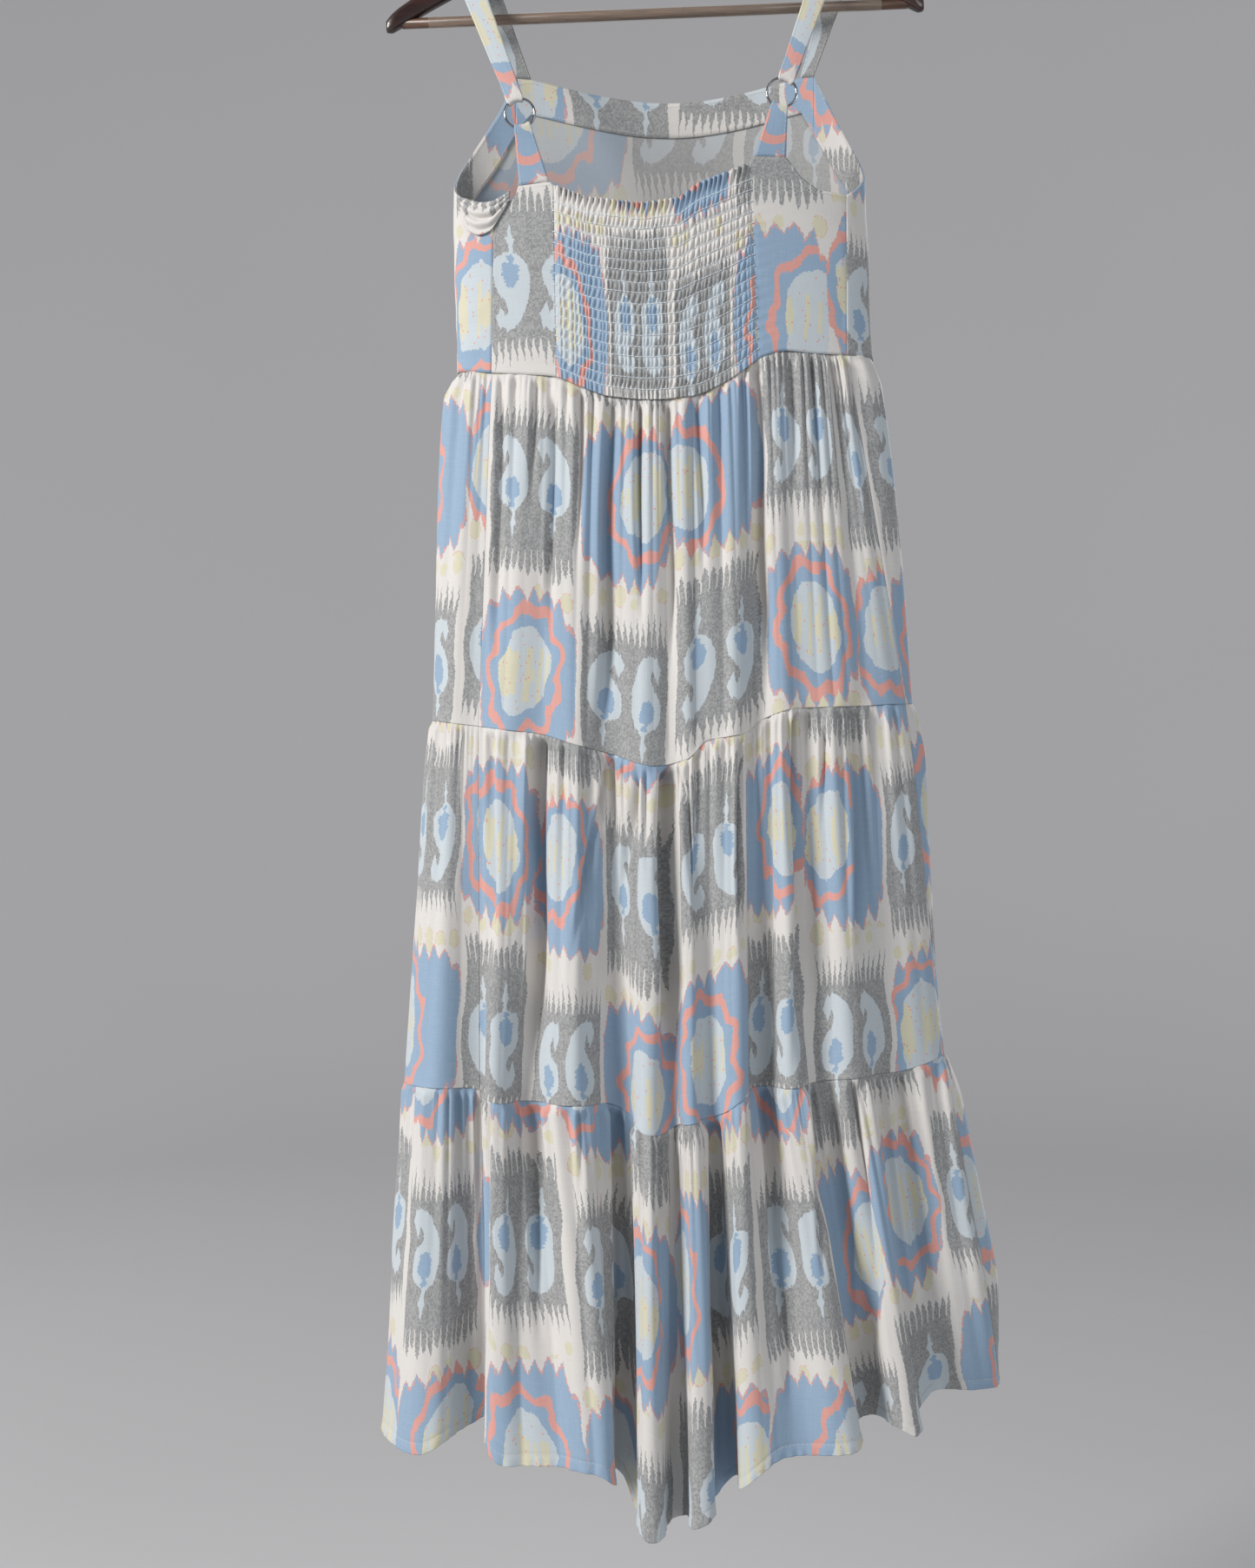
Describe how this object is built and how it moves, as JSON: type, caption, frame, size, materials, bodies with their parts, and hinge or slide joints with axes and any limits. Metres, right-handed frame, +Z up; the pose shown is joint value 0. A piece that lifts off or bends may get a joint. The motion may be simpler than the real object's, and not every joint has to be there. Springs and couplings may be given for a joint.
{
  "type": "tiered dress on a hanger",
  "caption": "Sleeveless tiered sundress with a smocked back, ring-joined straps and gathered skirt, hung on a wooden hanger with a trouser bar.",
  "frame": {"origin": "top of the hollow in the hanger's hook, where a rail holds it", "axes": "+Z up; the back of the dress, with its smocking, faces -Y and the front +Y; the left side of the dress is at -X"},
  "size_m": [0.51, 0.1999, 1.3951],
  "materials": {
    "printed_cotton": "matt printed cotton in blue, coral, grey and cream",
    "smocked_cotton": "the same cotton, drawn in by rows of elastic",
    "facing_cotton": "the same cotton, turned in",
    "strap_cotton": "the same cotton, doubled and stitched",
    "ring_metal": "thin plated round rings",
    "hook_metal": "plated wire",
    "hanger_wood": "dark mahogany with a gloss lacquer",
    "bar_wood": "plain brown dowel",
    "grip_plastic": "clear grip sleeve"
  },
  "bodies": {
    "root": {"back_smock_panel": "smocked_cotton", "side_back_left": "printed_cotton", "side_back_right": "printed_cotton", "front_bodice": "printed_cotton", "front_neck_facing": "facing_cotton", "armhole_facing_left": "facing_cotton", "armhole_facing_right": "facing_cotton", "strap_left": "strap_cotton", "strap_right": "strap_cotton", "ring_left": "ring_metal", "ring_right": "ring_metal", "ring_tab_left": "strap_cotton", "ring_tab_right": "strap_cotton", "tier1_back": "printed_cotton", "tier1_front": "printed_cotton", "tier2_back": "printed_cotton", "tier2_front": "printed_cotton", "tier3_back": "printed_cotton", "tier3_front": "printed_cotton", "hanger_arms": "hanger_wood", "hanger_bar": "bar_wood", "bar_grip": "grip_plastic", "hanger_hook": "hook_metal"}
  },
  "joints": []
}
